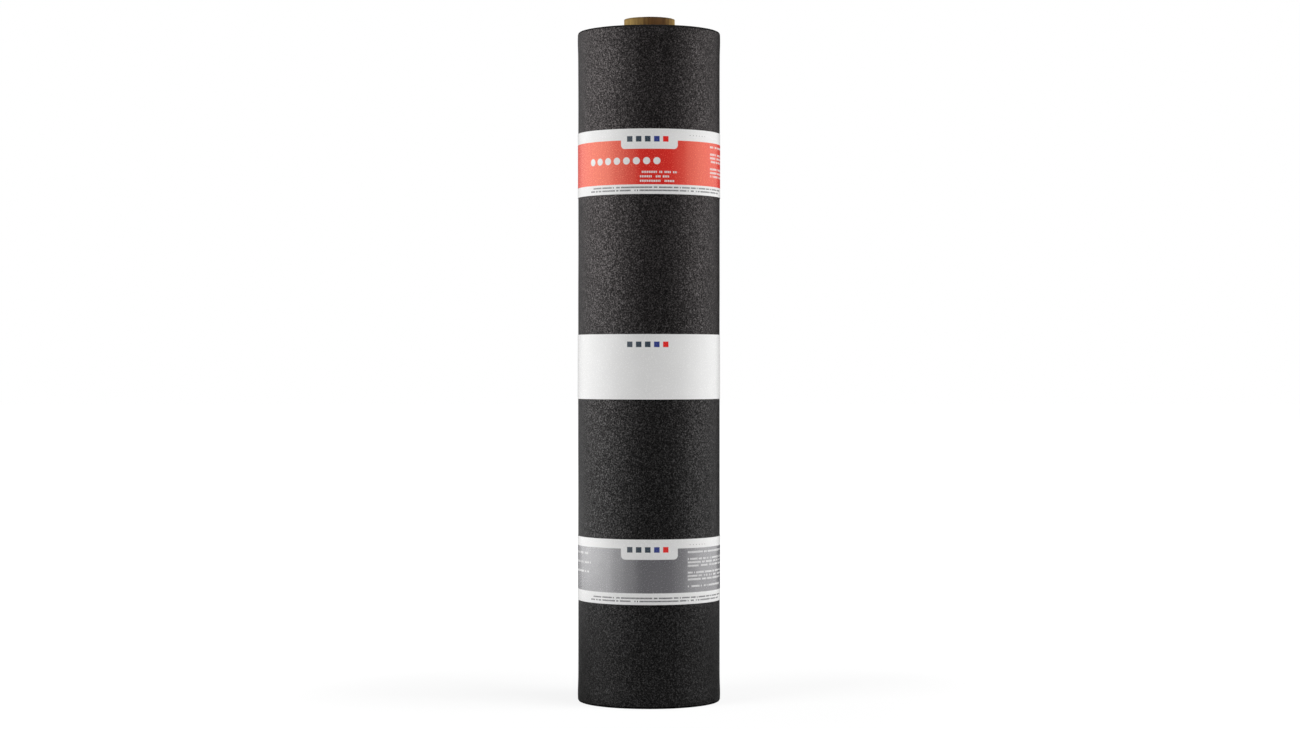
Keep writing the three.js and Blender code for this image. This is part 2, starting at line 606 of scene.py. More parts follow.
@dataclass(frozen=True)
class CutEdgeFinish:
    """The cut edges of the sheet: bitumen on both sides of a thin woven carrier.

    The map named edge holds the length along the sheet from its head, and the share of its
    thickness from its outer face.

    Attributes:
        rim_start: Length along the sheet past which its outer side is painted darker, as painted shade on the
            rounded rim.
        tones: Noise of the differences along the sheet.
        carrier_place: Share of the thickness at which the carrier lies.
        carrier_share: How far the carrier shows, by the distance from its place.
        carrier_unsmeared: How far it shows, by the smears over it.
        carrier_ungritted: How far it shows, by the grit over it.
    """

    rim_start: float
    bitumen: Colour = (0.0095, 0.0090, 0.0090)
    dusty: Colour = (0.034, 0.031, 0.030)
    carrier: Colour = (0.075, 0.068, 0.060)
    grit: Grain = Grain(900.0, detail=3.0, roughness=0.6)
    smears: Grain = Grain(90.0, detail=3.0)
    tones: Grain = Grain(1.0 / 0.45, detail=2.0, roughness=0.6)
    dust_share: Ramp = Ramp(0.45, 0.72, 0.0, 0.85)
    carrier_place: float = 0.60
    carrier_share: Ramp = Ramp(0.035, 0.091, 1.0, 0.0)
    carrier_unsmeared: Ramp = Ramp(0.40, 0.58)
    carrier_ungritted: Ramp = Ramp(0.35, 0.60)
    tone: Ramp = Ramp(0.34, 0.66, 0.45, 1.45)
    # Painted shade on the rounded rim of the outermost turn.
    rim_fade: float = 0.05
    rim_painted_shade_share: Ramp = Ramp(0.45, 1.0, 1.0, 0.0)
    rim_painted_shade: float = 0.75
    grit_depth: float = 0.35 * MM
    smear_depth: float = 0.8 * MM
    smear_strength: float = 0.6
    roughness: Ramp = Ramp(0.3, 0.7, 0.75, 0.95)
    gloss: float = 0.08

    def material(self) -> bpy.types.Material:
        """Builds the finish.

        Returns:
            The material.
        """
        g = Graph("cut_edge")
        where = g.place()
        along, across = g.mapped("edge")
        grit = g.noise(where, self.grit)
        smears = g.noise(where, self.smears)
        tones = g.noise(g.join(along, 0.0, 0.0), self.tones)

        line = abs(across - self.carrier_place).ramp(self.carrier_share)
        line = line * smears.ramp(self.carrier_unsmeared) * grit.ramp(self.carrier_ungritted)
        # Painted shade: the outer side of the outermost turn is painted darker on the rim.
        past_start = along.ramp(Ramp(self.rim_start, self.rim_start + self.rim_fade))
        rim = past_start * across.ramp(self.rim_painted_shade_share)
        colour = g.blend(grit.ramp(self.dust_share), self.bitumen, self.dusty)
        colour = g.blend(line, colour, self.carrier)
        under = g.bump(smears, self.smear_depth, self.smear_strength)
        return g.surface({
            "Base Color": g.scaled(colour, tones.ramp(self.tone), 1.0 - rim * self.rim_painted_shade),
            "Roughness": grit.ramp(self.roughness),
            "Normal": g.bump(grit, self.grit_depth, under=under),
            "Specular IOR Level": self.gloss,
        })


@dataclass(frozen=True)
class KraftFinish:
    """Golden kraft board, wound from slanting strips, with the side towards the front painted darker as
    painted shade.

    The painted shade's places are degrees round the tube, from the front to the right.

    Attributes:
        painted_shade_fray: How far the sides of the painted shade wander.
        strip_pitch: Height that a strip climbs in one turn.
        strip_offset: How far the grain moves on from one strip to the next.
        lip_tone: The tone by the distance from the upper end.
    """

    radius: float
    height: float
    board: Colour = (0.440, 0.296, 0.100)
    blotch: Colour = (0.350, 0.222, 0.070)
    # Colour of the painted shade on the side towards the front.
    painted_shade: Colour = (0.080, 0.036, 0.009)
    blotches: Grain = Grain(60.0, detail=4.0, roughness=0.6)
    streaks: Grain = Grain(1.0, detail=3.0, stretch=(260.0, 18.0, 1.0))
    fibres: Grain = Grain(1.0, detail=3.0, stretch=(300.0, 2200.0, 1.0))
    flecks: Grain = Grain(1500.0, detail=1.0)
    blotch_share: Ramp = Ramp(0.30, 0.75)
    streak_tone: Ramp = Ramp(0.25, 0.75, 0.84, 1.16)
    fibre_tone: Ramp = Ramp(0.25, 0.75, 0.88, 1.10)
    fleck_tone: Ramp = Ramp(0.64, 0.74, 1.0, 0.62)
    # Where the painted shade lies, in degrees from the front, how it fades and how its sides wander.
    painted_shade_middle: float = 18.0
    painted_shade_share: Ramp = Ramp(12.0, 76.0, 1.0, 0.0)
    painted_shade_fray: float = 30.0
    strip_pitch: float = 92.0 * MM
    strip_offset: float = 4.0 * MM
    seam_share: Ramp = Ramp(0.0, 0.012, 1.0, 0.0)
    seam_dark: float = 0.45
    lip_tone: Ramp = Ramp(1.0 * MM, 2.4 * MM, 0.60, 1.0)
    relief: float = 0.12 * MM
    fibre_relief: float = 0.5
    roughness: float = 0.6
    gloss: float = 0.10

    def painted_shade_cover(self, g: Graph, x: Value, y: Value, wobble: Value) -> Value:
        """How far the painted shade covers the board.

        Args:
            g: The graph.
            x: Place across the front.
            y: Place towards the back.
            wobble: A noise that frays the sides of the painted shade.

        Returns:
            The share.
        """
        turned = g.math("ARCTAN2", x, y * -1.0) * (360.0 / TURN)
        away = abs(turned - self.painted_shade_middle) + (wobble - 0.5) * self.painted_shade_fray
        return away.ramp(self.painted_shade_share)

    def material(self) -> bpy.types.Material:
        """Builds the finish.

        Returns:
            The material.
        """
        g = Graph("kraft_board")
        where = g.place()
        x, y, z = g.split(where)
        turn = g.math("ARCTAN2", y, x) / TURN
        climb = z / self.strip_pitch + turn
        seam = abs(climb.fract() - 0.5).ramp(self.seam_share)
        on_strip = g.join(turn * (TURN * self.radius), z, climb * self.strip_offset)
        fibres = g.noise(on_strip, self.fibres)
        streaks = g.noise(on_strip, self.streaks)

        colour = g.blend(g.noise(where, self.blotches).ramp(self.blotch_share), self.board, self.blotch)
        # Painted shade: the side towards the front is painted dark brown.
        colour = g.blend(self.painted_shade_cover(g, x, y, streaks), colour, self.painted_shade)
        tones = (
            streaks.ramp(self.streak_tone),
            fibres.ramp(self.fibre_tone),
            g.noise(where, self.flecks).ramp(self.fleck_tone),
            1.0 - seam * self.seam_dark,
            abs(z - self.height).ramp(self.lip_tone),
        )
        return g.surface({
            "Base Color": g.scaled(colour, *tones),
            "Roughness": self.roughness,
            "Normal": g.bump(fibres * self.fibre_relief - seam, self.relief),
            "Specular IOR Level": self.gloss,
        })


@dataclass(frozen=True)
class PrintPlace:
    """A place on a band's printed side, round the roll and up the band."""

    graph: Graph
    x: Value
    y: Value
    soft: float

    def fade(self, away: Value, reach: float) -> Value:
        """A share that falls from 1 to 0 where a distance passes a reach."""
        return away.ramp(Ramp(reach - self.soft, reach + self.soft, 1.0, 0.0))

    def inside(self, value: Value, low: float, high: float) -> Value:
        """A share that is 1 between two numbers and 0 outside them."""
        return self.fade(abs(value - 0.5 * (low + high)), 0.5 * (high - low))


class Mark(ABC):
    """A part of a band's design, in an ink of its own or left bare in the ground."""

    ink: Colour | None

    @abstractmethod
    def share(self, at: PrintPlace) -> Value:
        """How far the mark covers a place."""


@dataclass(frozen=True)
class Ground(Mark):
    """The inked part of a band, between its bare margins."""

    ink: Colour
    low: float
    high: float

    def share(self, at: PrintPlace) -> Value:
        """How far the ground covers a place."""
        return at.inside(at.y, self.low, self.high)


@dataclass(frozen=True)
class Panel(Mark):
    """A bare panel with rounded lower corners that hangs from the top margin."""

    centre: float
    half_width: float
    low: float
    corner: float = 6.0 * MM
    ink = None

    def share(self, at: PrintPlace) -> Value:
        """How far the panel covers a place.

        Args:
            at: The place.

        Returns:
            The share.
        """
        over_x = abs(at.x - self.centre) - (self.half_width - self.corner)
        over_y = (self.low + self.corner) - at.y
        return at.fade(at.graph.distance(over_x.at_least(0.0), over_y.at_least(0.0)), self.corner)


@dataclass(frozen=True)
class Dots(Mark):
    """A row of round dots, left bare in the ground."""

    start: float
    pitch: float
    count: int
    height: float
    radius: float
    ink = None

    def share(self, at: PrintPlace) -> Value:
        """How far the dots cover a place.

        Args:
            at: The place.

        Returns:
            The share.
        """
        off = (((at.x - self.start) / self.pitch).fract() - 0.5) * self.pitch
        spot = at.fade(at.graph.distance(off, at.y - self.height), self.radius)
        return spot * at.inside(at.x, self.start, self.start + self.pitch * self.count)


@dataclass(frozen=True)
class Lines(Mark):
    """Rows of short strokes, as plain filler.

    Attributes:
        stroke: Length of a stroke and the gap after it.
        ragged: How much sooner a row ends at most.
        cover: Share of its step that a stroke covers.
        drawn: Share of the strokes that are drawn.
        gap_every: The second row of every so many stays empty, or none if 0.
    """

    start: float
    end: float
    top: float
    pitch: float
    rows: int
    thick: float = 3.0 * MM
    stroke: float = 2.6 * MM
    seed: float = 1.0
    end_seed: float = 3.0
    ragged: float = 0.0
    cover: float = 0.66
    drawn: float = 0.82
    gap_every: int = 0
    ink: Colour | None = None

    def share(self, at: PrintPlace) -> Value:
        """How far the strokes cover a place.

        Args:
            at: The place.

        Returns:
            The share.
        """
        g = at.graph
        down = (self.top - at.y) / self.pitch
        along = (at.x - self.start) / self.stroke
        row = down.floor()
        bar = at.fade(abs((down.fract() - 0.5) * self.pitch), 0.5 * self.thick)
        block = at.inside(at.y, self.top - self.pitch * self.rows, self.top)
        drawn = g.chance(along.floor(), row, self.seed) < self.drawn
        end = self.end - g.chance(row, self.seed, self.end_seed) * self.ragged
        share = bar * block * drawn * (along.fract() < self.cover) * (at.x > self.start) * (at.x < end)
        if self.gap_every:
            gap = g.math("COMPARE", g.math("MODULO", row, self.gap_every), 1.0, 0.5)
            share = share * (1.0 - gap)
        return share


@dataclass(frozen=True)
class PaperFinish:
    """Coated white paper with a printed design, placed by the map named print.

    The map's first number runs round the roll from the middle of the front, to the
    right, and the second runs up from the band's lower edge, both in metres.
    """

    name: str
    ground: Ground | None = None
    marks: tuple[Mark, ...] = ()
    paper: Colour = (0.880, 0.878, 0.872)
    paper_shine: Colour = (0.40, 0.40, 0.40)
    ink_shine: Colour = (1.0, 1.0, 1.0)
    soft: float = 0.25 * MM
    fibres: Grain = Grain(700.0, detail=3.0)
    clouds: Grain = Grain(25.0, detail=2.0)
    fibre_tone: Ramp = Ramp(0.2, 0.8, 0.985, 1.01)
    cloud_tone: Ramp = Ramp(0.3, 0.7, 0.99, 1.01)
    fibre_depth: float = 0.02 * MM
    cloud_depth: float = 0.35 * MM
    roughness: Ramp = Ramp(0.2, 0.8, 0.235, 0.285)
    gloss: float = 2.8

    def material(self) -> bpy.types.Material:
        """Builds the finish.

        Returns:
            The material.
        """
        g = Graph(self.name)
        where = g.place()
        at = PrintPlace(g, *g.mapped("print"), self.soft)
        fibres = g.noise(where, self.fibres)
        clouds = g.noise(where, self.clouds)
        colour: Socket | Colour = self.paper
        shine: Socket | Colour = self.paper_shine
        if self.ground:
            inked = self.ground.share(at)
            for mark in self.marks:
                if mark.ink is None:
                    inked = inked * (1.0 - mark.share(at))
            colour = g.blend(inked, self.paper, self.ground.ink)
            shine = g.blend(inked, self.paper_shine, self.ink_shine)
        for mark in self.marks:
            if mark.ink is not None:
                colour = g.blend(mark.share(at), colour, mark.ink)
        return g.surface({
            "Base Color": g.scaled(colour, fibres.ramp(self.fibre_tone), clouds.ramp(self.cloud_tone)),
            "Roughness": fibres.ramp(self.roughness),
            "Normal": g.bump(clouds, self.cloud_depth, under=g.bump(fibres, self.fibre_depth)),
            "IOR": self.gloss,
            "Specular Tint": shine,
        })


# ---- Meshes ----


def add_object(name: str, data: bpy.types.ID) -> bpy.types.Object:
    """Puts a mesh, lamp or camera in the scene.

    Args:
        name: The object's name.
        data: The mesh, lamp or camera.

    Returns:
        The new object, at the origin.
    """
    made = bpy.data.objects.new(name, data)
    bpy.context.scene.collection.objects.link(made)
    return made


@dataclass
class Shell:
    """Points and faces of one mesh while it is being made."""

    points: list[np.ndarray] = field(default_factory=list)
    faces: list[tuple[int, ...]] = field(default_factory=list)
    slots: list[int] = field(default_factory=list)
    maps: list[list[tuple[float, float]]] = field(default_factory=list)
    count: int = 0

    def add_points(self, places: np.ndarray) -> np.ndarray:
        """Adds points.

        Args:
            places: An array whose last axis holds x, y and z.

        Returns:
            The points' numbers, in the array's shape without its last axis.
        """
        places = np.asarray(places, dtype=float)
        numbers = np.arange(self.count, self.count + places[..., 0].size).reshape(places.shape[:-1])
        self.points.append(places.reshape(-1, 3))
        self.count += numbers.size
        return numbers

    def add_face(self, corners: Sequence[int], slot: int = 0, marks: Sequence | None = None) -> None:
        """Adds one face.

        Args:
            corners: Its points, counter-clockwise from outside.
            slot: Its material's number.
            marks: Its corners' places on the mesh's map, which are all 0 without them.
        """
        self.faces.append(tuple(int(c) for c in corners))
        self.slots.append(slot)
        self.maps.append(list(marks) if marks is not None else [(0.0, 0.0)] * len(corners))

    def add_grid(self, grid: np.ndarray, slot: int = 0, marks: np.ndarray | None = None,
                 flip: bool = False) -> None:
        """Adds the quads between the rows and columns of a grid of points.

        Args:
            grid: Point numbers by row and column.
            slot: The faces' material number.
            marks: Each point's place on the mesh's map, all 0 without them.
            flip: Whether the faces are turned round.
        """
        if marks is None:
            marks = np.zeros((*grid.shape, 2))
        for i, j in np.ndindex(grid.shape[0] - 1, grid.shape[1] - 1):
            spots = [(i, j), (i + 1, j), (i + 1, j + 1), (i, j + 1)]
            if flip:
                spots.reverse()
            self.add_face([grid[s] for s in spots], slot, [tuple(marks[s]) for s in spots])

    def build(self, name: str, materials: Sequence[bpy.types.Material], map_name: str) -> bpy.types.Object:
        """Makes the Blender object.

        Args:
            name: The object's name.
            materials: Its materials, in the order of their numbers.
            map_name: The name of its map.

        Returns:
            The new object, at the origin.
        """
        mesh = bpy.data.meshes.new(name)
        mesh.from_pydata(np.concatenate(self.points).tolist(), [], self.faces)
        layer = mesh.uv_layers.new(name=map_name)
        layer.data.foreach_set("uv", np.array([m for marks in self.maps for m in marks]).ravel())
        mesh.polygons.foreach_set("material_index", self.slots)
        for material in materials:
            mesh.materials.append(material)
        mesh.shade_smooth()
        mesh.validate()
        return add_object(name, mesh)


class Piece(ABC):
    """A piece of the roll, which stands in the place of one node of the frame.

    Attributes:
        name: The piece's name.
        node: The node that it stands for.
        slot: The material slot in the record. Nothing in this script reads it.
        map_name: The name of its mesh's map.
        sharp: Edges that bend by more than this many degrees stay sharp.
    """

    name: str
    node: str
    slot: str
    map_name: str = "edge"
    sharp: float = 50.0

    @abstractmethod
    def shell(self) -> Shell:
        """Builds the points and faces."""

    @abstractmethod
    def materials(self) -> list[bpy.types.Material]:
        """Makes the finishes, in the order of their numbers on the faces."""

    def build(self) -> bpy.types.Object:
        """Makes and dresses the piece, and puts it in its node's place.

        Returns:
            The new object.
        """
        made = self.shell().build(self.name, self.materials(), self.map_name)
        made.data.set_sharp_from_angle(angle=math.radians(self.sharp))
        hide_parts(self.node)
        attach(made, "root")
        return made


@dataclass
class FeltSheet(Piece):
    """The wound sheet: its granule-faced wall, the spiral of its edges and its bore.

    Attributes:
        rays: Points in each turn.
        least_ray: Least gap to the head edge's own ray, as a share of the gap of two rays.
        across: Shares of the thickness, from the sheet's outer face to its inner one.
        depths: How far the sheet's edge lies in at each, as a share of the groove.
        groove: Depth of the groove between two turns.
        wander: Size of the slow ups and downs of the outer turns, and `inner_wander` of the
            inner ones.
        calming: Shares of all turns between which the one gives way to the other.
        sway_rates: Waves to a turn of the ups and downs along the sheet.
        ragged: How rough the cut edge is.
    """

    name = "felt_sheet"
    node = "felt_roll"
    slot = "felt"
    winding: Winding
    rays: int = 144
    least_ray: float = 0.2
    wall_rows: int = 72
    across: tuple[float, ...] = (0.0, 0.08, 0.17, 0.33, 0.5, 0.67, 0.83, 0.92, 1.0)
    depths: tuple[float, ...] = (1.0, 0.42, 0.10, 0.0, 0.01, 0.0, 0.10, 0.42, 1.0)
    groove: float = 1.7 * MM
    wander: float = 0.25 * MM
    inner_wander: float = 1.1 * MM
    calming: tuple[float, float] = (0.80, 0.96)
    sway_rates: tuple[float, ...] = (0.31, 0.83, 1.37, 2.9, 6.1)
    sway_middle: float = 0.5
    sway_reach: float = 0.22
    ragged: float = 0.07 * MM
    seed: int = 5

    def materials(self) -> list[bpy.types.Material]:
        """Makes the finish of the wall and that of the sheet's edges.

        Returns:
            Both finishes.
        """
        outer_turn = self.winding.turns - 1.0
        rim_start = TURN * outer_turn * float(self.winding.face(np.array(outer_turn)))
        return [GranuleFinish(self.winding.height).material(), CutEdgeFinish(rim_start).material()]

    def samples(self) -> tuple[np.ndarray, np.ndarray, int]:
        """Lists the places along the sheet, from its tail to its head.

        Returns:
            For each place its share of a turn past the tail, its turns from the head,
            and the number of places in one turn.
        """
        turns = self.winding.turns
        head = turns % 1.0
        shares = np.arange(self.rays) / self.rays
        shares = np.sort(np.append(shares[np.abs(shares - head) > self.least_ray / self.rays], head))
        whole = int(turns) + 1
        turned = np.tile(shares, whole)
        wound = turns - np.repeat(np.arange(whole), shares.size) - turned
        kept = wound > -ROUNDING
        return turned[kept], np.maximum(wound[kept], 0.0), shares.size

    def relief(self, seed: int) -> np.ndarray:
        """How far the sheet's edge lies inside the even end of the roll.

        Args:
            seed: Seed of the unevenness.

        Returns:
            The depth of each point, by place along the sheet and across it.
        """
        draw = np.random.RandomState(seed)
        turned, wound, per_turn = self.samples()
        inward = np.tile(np.array(self.depths) * self.groove, (turned.size, 1))
        outer_turn = np.arange(turned.size) < per_turn
        inward[outer_turn, 0] *= self.winding.near_tail(turned[outer_turn])
        sway = summed_waves(wound * TURN, self.sway_rates, draw)
        calm = smooth_step(wound, *(share * self.winding.turns for share in self.calming))
        wander = self.inner_wander + (self.wander - self.inner_wander) * calm
        drift = wander * (self.sway_middle + self.sway_reach * sway)
        inward[:, 1:-1] += np.clip(drift, 0.0, None)[:, None]
        inward[:, 1:-1] += self.ragged * draw.uniform(0.0, 1.0, inward[:, 1:-1].shape)
        return inward

    def edge(self, shell: Shell, rim: float, level: float, up: float, seed: int) -> np.ndarray:
        """Adds the spiral of the sheet's edges on one end of the roll.

        Args:
            shell: The mesh.
            rim: Radius of the rounded rim.
            level: Height of the end.
            up: 1 for the upper end and -1 for the lower.
            seed: Seed of the unevenness.

        Returns:
            The number of each point, by place along the sheet and across it.
        """
        w = self.winding
        turned, wound, per_turn = self.samples()
        steps = np.array(self.across)
        inner, outer = w.face(wound), w.face(wound + 1.0)
        radius = outer[:, None] + (inner - outer)[:, None] * steps
        angle = np.broadcast_to((w.tail_angle + TURN * turned)[:, None], radius.shape)
        share = np.broadcast_to(turned[:, None], radius.shape)
        height = level - up * (w.rim_drop(radius, share, rim) + self.relief(seed))
        radius = radius + w.bulge(radius, angle, height)
        places = round_axis(radius, angle, height)

        # The inner face of a turn is the outer face of the next turn in, so they share points.
        numbers = np.empty(radius.shape, dtype=int)
        numbers[:, :-1] = shell.add_points(places[:, :-1])
        last = turned.size - per_turn
        numbers[:last, -1] = numbers[per_turn:, 0]
        numbers[last:, -1] = shell.add_points(places[last:, -1])
        marks = np.stack(np.broadcast_arrays(wound[:, None] * TURN * inner[:, None], steps), axis=-1)
        shell.add_grid(numbers, slot=1, marks=marks, flip=up > 0)
        return numbers

    def wall(self, shell: Shell, ends: tuple[np.ndarray, np.ndarray], radius: np.ndarray,
             angle: np.ndarray, slot: int) -> np.ndarray:
        """Adds an upright wall between the two ends of the roll.

        Args:
            shell: The mesh.
            ends: The points that each column starts from, and those that it ends at.
            radius: Each column's radius.
            angle: Each column's angle.
            slot: The wall's material number, 0 for the roll's wall and 1 for its bore.

        Returns:
            The point numbers by column and row, with those of the ends.
        """
        low, high = ends
        points = np.concatenate(shell.points)
        bottom, top = points[low][:, 2], points[high][:, 2]
        # The rows lie closer together towards both ends.
        share = np.linspace(0.0, 1.0, self.wall_rows + 2)
        share = 0.5 * (share + smooth_step(share, 0.0, 1.0))[1:-1]
        height = bottom[:, None] + (top - bottom)[:, None] * share
        spread = radius[:, None] + self.winding.bulge(radius[:, None], angle[:, None], height)
        inner = shell.add_points(round_axis(spread, angle[:, None], height))
        grid = np.concatenate([low[:, None], inner, high[:, None]], axis=1)
        shell.add_grid(grid, slot=slot, flip=slot == 1)
        return grid

    def step(self, shell: Shell, columns: np.ndarray, base: np.ndarray, top: np.ndarray) -> None:
        """Closes the solid with the flat face of the sheet's tail or head edge.

        Args:
            shell: The mesh.
            columns: A wall's points. The face joins its first column to its last.
            base: The sheet's lower edge there, from first to last.
            top: Its upper edge there, from first to last.
        """
        first, last = columns[0], columns[-1]
        shell.add_grid(np.stack([last, first]), slot=1)
        shell.add_face([first[-1], last[-1], *top[1:-1][::-1]], slot=1)
        shell.add_face([last[0], first[0], *base[1:-1]], slot=1)

    def shell(self) -> Shell:
        """Builds the points and faces.

        Returns:
            The mesh, which is one closed solid.
        """
        w = self.winding
        shell = Shell()
        turned, wound, per_turn = self.samples()
        top = self.edge(shell, w.top_rim, w.height, 1.0, self.seed)
        base = self.edge(shell, w.base_rim, 0.0, -1.0, self.seed + 1)
        angle = w.tail_angle + TURN * turned

        outside = slice(0, per_turn + 1)
        ends = (base[outside, 0], top[outside, 0])
        share = np.append(turned[:per_turn], 1.0)
        columns = self.wall(shell, ends, w.wall(share), angle[outside], slot=0)
        self.step(shell, columns, base[0], top[0])

        inside = slice(turned.size - per_turn - 1, turned.size)
        ends = (base[inside, -1], top[inside, -1])
        columns = self.wall(shell, ends, w.face(wound[inside]), angle[inside], slot=1)
        self.step(shell, columns, base[-1], top[-1])
        return shell


@dataclass
class KraftTube(Piece):
    """The board tube that the sheet is wound on.

    Attributes:
        crown: Places across a ply's end, as shares of the ply from outside, and how far the
            end lies in at each.
        softness: How far the rims of both ends are rounded.
        worn: How far the upper end is worn down in slow waves, `wear_lobes` round the tube.
        frayed: How rough the upper end is.
    """

    name = "kraft_tube"
    node = "core_tube"
    slot = "cardboard"
    radius: float
    height: float
    wall: float = 5.0 * MM
    plies: int = 6
    crown: tuple[tuple[float, float], ...] = (
        (0.2, 0.12 * MM), (0.5, 0.0), (0.8, 0.12 * MM), (1.0, 0.45 * MM),
    )
    rays: int = 160
    rows: int = 40
    softness: float = 0.5 * MM
    worn: float = 0.035 * MM
    wear_lobes: tuple[int, ...] = (2, 3, 5, 9, 17)
    wear_middle: float = 1.5
    frayed: float = 0.05 * MM
    seed: int = 21

    def materials(self) -> list[bpy.types.Material]:
        """Makes the finish of the board."""
        return [KraftFinish(self.radius, self.height).material()]

    def profile(self) -> np.ndarray:
        """Lists the wall's outline: over the upper end, down the bore, below and up outside.

        Returns:
            Radius and height of each point.
        """
        ply = self.wall / self.plies
        rim = [(self.radius, self.softness)]
        for number in range(self.plies):
            rim += [(self.radius - number * ply - share * ply, depth) for share, depth in self.crown]
        rim[-1] = (self.radius - self.wall, self.softness)
        rows = np.linspace(self.softness, self.height - self.softness, self.rows)[1:-1]
        outline = [(r, self.height - depth) for r, depth in rim]
        outline += [(self.radius - self.wall, z) for z in rows[::-1]]
        outline += reversed(rim)
        outline += [(self.radius, z) for z in rows]
        return np.array(outline)

    def shell(self) -> Shell:
        """Builds the points and faces.

        Returns:
            The mesh, with a worn and frayed upper end.
        """
        draw = np.random.RandomState(self.seed)
        shell = Shell()
        angle = np.arange(self.rays) / self.rays * TURN
        radius, level = np.split(self.profile(), 2, axis=1)
        near_top = level > self.height - 2.0 * self.softness
        wear = np.clip(self.wear_middle + summed_waves(angle, self.wear_lobes, draw), 0.0, None)
        height = level - near_top * self.worn * wear
        height -= near_top * self.frayed * draw.uniform(0.0, 1.0, height.shape)
        numbers = shell.add_points(round_axis(radius, angle, np.maximum(height, 0.0)))
        shell.add_grid(np.pad(numbers, ((0, 1), (0, 1)), mode="wrap"))
        return shell


class BandPlace(Enum):
    """The places of the bands from the top down, each with its node and material slot."""

    TOP = ("top_band", "paper_red")
    MIDDLE = ("middle_band", "paper_white")
    BOTTOM = ("bottom_band", "paper_grey")

    def __init__(self, node: str, slot: str) -> None:
        """Names both parts of the value."""
        self.node = node
        self.slot = slot


@dataclass
class PaperBand(Piece):
    """One strip of paper drawn round the roll, with its far end glued over its start.

    Attributes:
        gap: Room between the felt and the paper.
        lap: Length of the far end that lies over the start.
        lap_start: How far past the tail edge the strip starts.
        lap_climb: Turns along the strip between which it climbs onto its start.
        lift: How far the upper and lower edges lift, with `lift_power` keeping it to them.
    """

    map_name = "print"
    sharp = 40.0
    place: BandPlace
    winding: Winding
    finish: PaperFinish
    low: float
    high: float
    gap: float = 0.3 * MM
    thickness: float = 0.3 * MM
    lap: float = 36.0 * MM
    lap_start: float = 28.0 * MM
    lap_gap: float = 0.06 * MM
    lap_climb: tuple[float, float] = (0.988, 1.001)
    columns: int = 300
    rows: int = 18
    lift: float = 0.22 * MM
    lift_power: int = 4
    seed: int = 31

    def __post_init__(self) -> None:
        """Takes the names of the piece, its node and its slot from its place."""
        self.node = self.place.node
        self.slot = self.place.slot
        self.name = self.node.replace("band", "paper")

    def materials(self) -> list[bpy.types.Material]:
        """Makes the finish of the paper."""
        return [self.finish.material()]

    def lifted(self, angle: np.ndarray, height: np.ndarray) -> np.ndarray:
        """How far the upper and lower edges of the paper lift here and there.

        Args:
            angle: Each column's angle.
            height: Each row's height.

        Returns:
            The offset by column and row.
        """
        curl = Ripple(1.0, waves=6, round_range=(2, 9), height_range=(1.0, 3.0), seed=self.seed)
        wave = np.clip(0.5 + 0.5 * curl.at(angle[:, None], height), 0.0, 1.0)
        return self.lift * np.abs(np.linspace(-1.0, 1.0, self.rows)) ** self.lift_power * wave

    def shell(self) -> Shell:
        """Builds the points and faces.

        Returns:
            The mesh, with the print's map on its outer side.
        """
        w = self.winding
        shell = Shell()
        girth = TURN * w.tail_radius
        along = np.linspace(0.0, 1.0 + self.lap / girth, self.columns)
        turned = self.lap_start / girth + along
        angle = w.tail_angle + TURN * turned
        height = np.linspace(self.low, self.high, self.rows)

        lapped = (self.thickness + self.lap_gap) * smooth_step(along, *self.lap_climb)
        stand = self.gap + lapped[:, None] + self.lifted(angle, height)
        radius = w.wrap(turned % 1.0)[:, None] + stand
        radius = radius + w.bulge(radius, angle[:, None], height)
        inner = shell.add_points(round_axis(radius, angle[:, None], height))
        outer = shell.add_points(round_axis(radius + self.thickness, angle[:, None], height))

        around = (angle - FRONT) * w.tail_radius
        around = np.where(around > 0.5 * girth, around - girth, around)
        marks = np.stack(np.broadcast_arrays(around[:, None], height - self.low), axis=-1)
        shell.add_grid(outer, marks=marks)
        shell.add_grid(inner, flip=True)
        rims = (
            (inner[:, 0], outer[:, 0], False),
            (inner[:, -1], outer[:, -1], True),
            (inner[0], outer[0], True),
            (inner[-1], outer[-1], False),
        )
        for near, far, flip in rims:
            shell.add_grid(np.stack([near, far], axis=1), flip=flip)
        return shell


# ---- Studio ----


@dataclass(frozen=True)
class Softbox:
    """A rectangular lamp that faces the middle of the roll."""

    name: str
    angle: float
    watts: float
    distance: float
    width: float
    tall: float
    height: float
    aim_height: float = 0.5

    def build(self) -> None:
        """Hangs the lamp at its angle from the front, to the right, in degrees."""
        data = bpy.data.lights.new(self.name, "AREA")
        data.shape = "RECTANGLE"
        data.size, data.size_y = self.width, self.tall
        data.energy = self.watts
        turn = math.radians(self.angle)
        made = add_object(self.name, data)
        made.location = (self.distance * math.sin(turn), -self.distance * math.cos(turn), self.height)
        towards = Vector((0.0, 0.0, self.aim_height)) - made.location
        made.rotation_euler = towards.to_track_quat("-Z", "Y").to_euler()


@dataclass(frozen=True)
class LampRing:
    """Tall panels that stand round the roll, with a low one at the foot of each."""

    side: str
    powers: tuple[tuple[float, float], ...]
    distance: float = 1.6
    width: float = 0.56
    tall: float = 1.36
    height: float = 0.83
    foot_tall: float = 0.20
    foot_height: float = 0.11
    foot_share: float = 0.19

    def lamps(self) -> list[Softbox]:
        """Lists the ring's lamps.

        Returns:
            A tall panel and its foot for each angle and power.
        """
        made = []
        for angle, watts in self.powers:
            name = f"{self.side}_{abs(angle):.0f}"
            foot = self.foot_share * watts
            footprint = (self.distance, self.width)
            made.append(Softbox(name, angle, watts, *footprint, self.tall, self.height))
            made.append(Softbox(f"{name}_foot", angle, foot, *footprint, self.foot_tall, self.foot_height))
        return made


